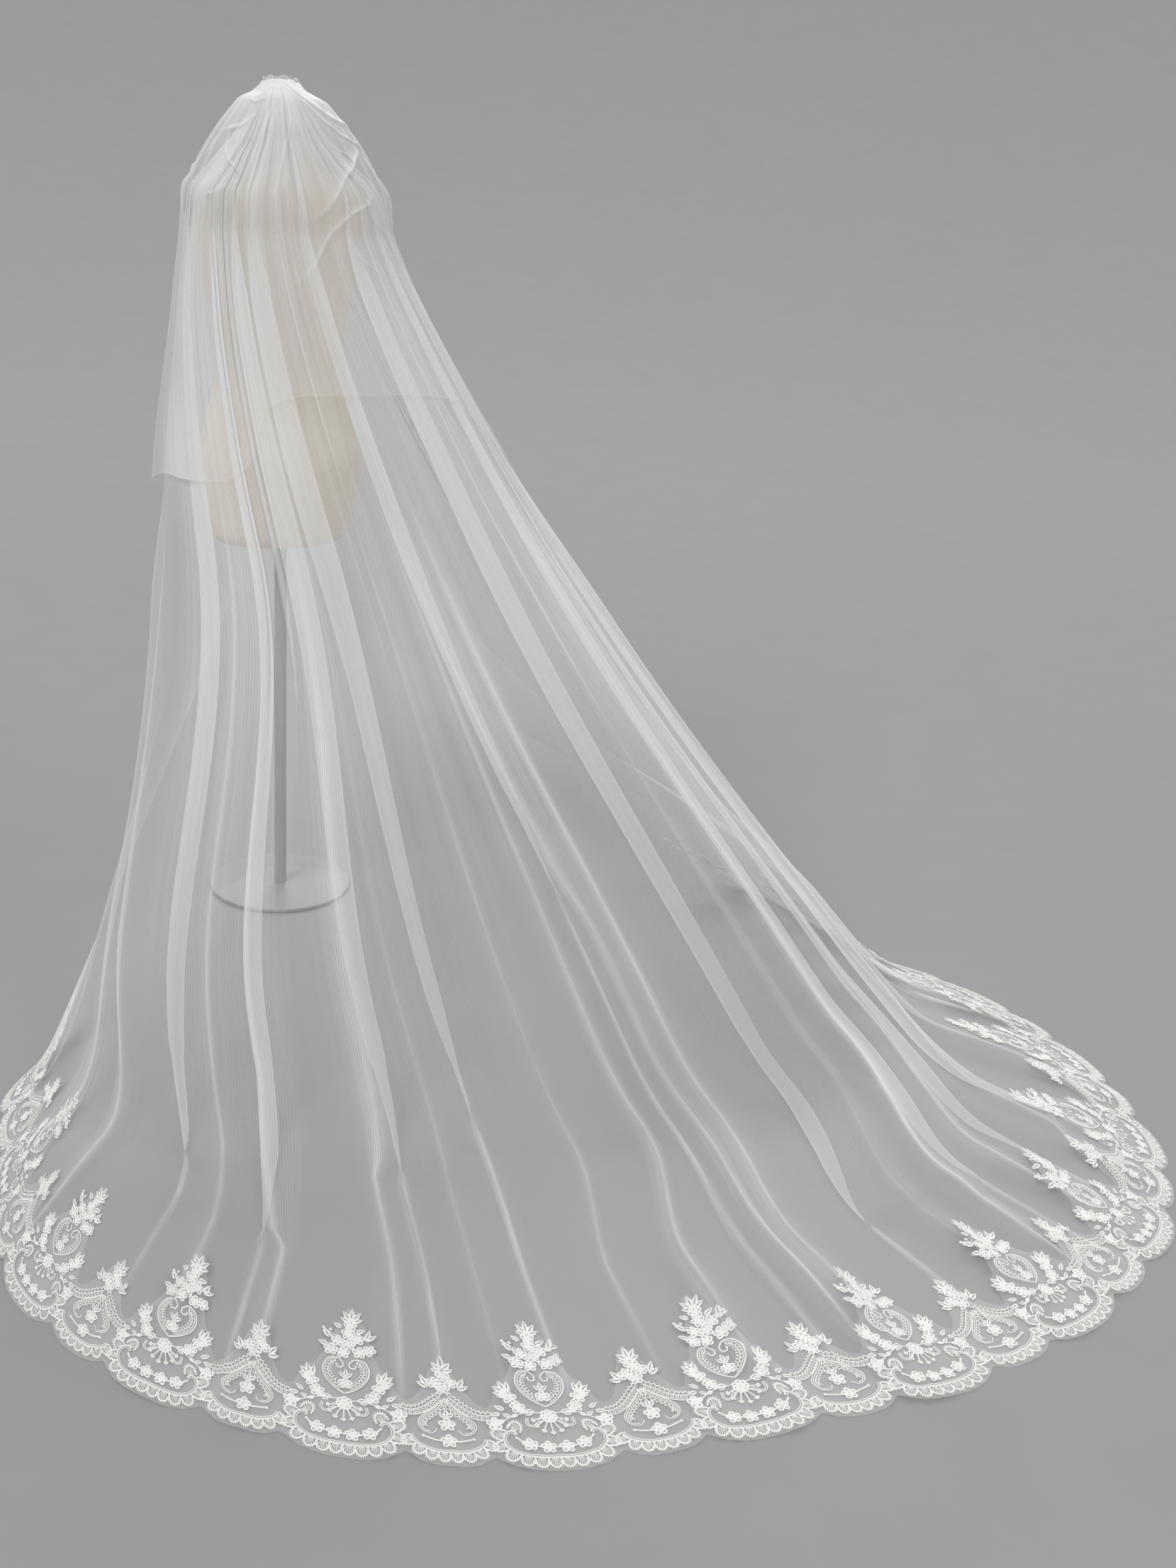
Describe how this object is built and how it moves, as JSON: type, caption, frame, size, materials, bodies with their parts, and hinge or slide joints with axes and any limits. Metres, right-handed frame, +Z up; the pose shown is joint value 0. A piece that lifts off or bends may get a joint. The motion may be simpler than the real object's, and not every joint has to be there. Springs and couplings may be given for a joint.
{
  "type": "bridal veil on a dress form",
  "caption": "Bridal veil of sheer tulle, a long tier with a scalloped lace border under a short one, gathered on a comb over a limbless dress form and spread as a train.",
  "frame": {"origin": "middle of the base plate's underside, on the floor", "axes": "+Z up, the wearer looks along +Y, the train lies along -Y, +X is the wearer's right"},
  "size_m": [1.9577, 2.1656, 1.6405],
  "materials": {
    "tulle": "sheer white nylon tulle, fine hexagonal net, soft dry lustre",
    "lace": "ivory corded embroidery on net, matt thread",
    "form_cotton": "cream cotton jersey stretched smooth",
    "comb_plastic": "clear milky plastic",
    "stand_paint": "pale grey satin paint"
  },
  "bodies": {
    "root": {"long_tier": "tulle", "short_tier": "tulle", "lace_border": "lace", "comb": "comb_plastic", "dress_form": "form_cotton", "neck_cap": "stand_paint", "finial": "stand_paint", "pole": "stand_paint", "base_plate": "stand_paint"}
  },
  "joints": []
}
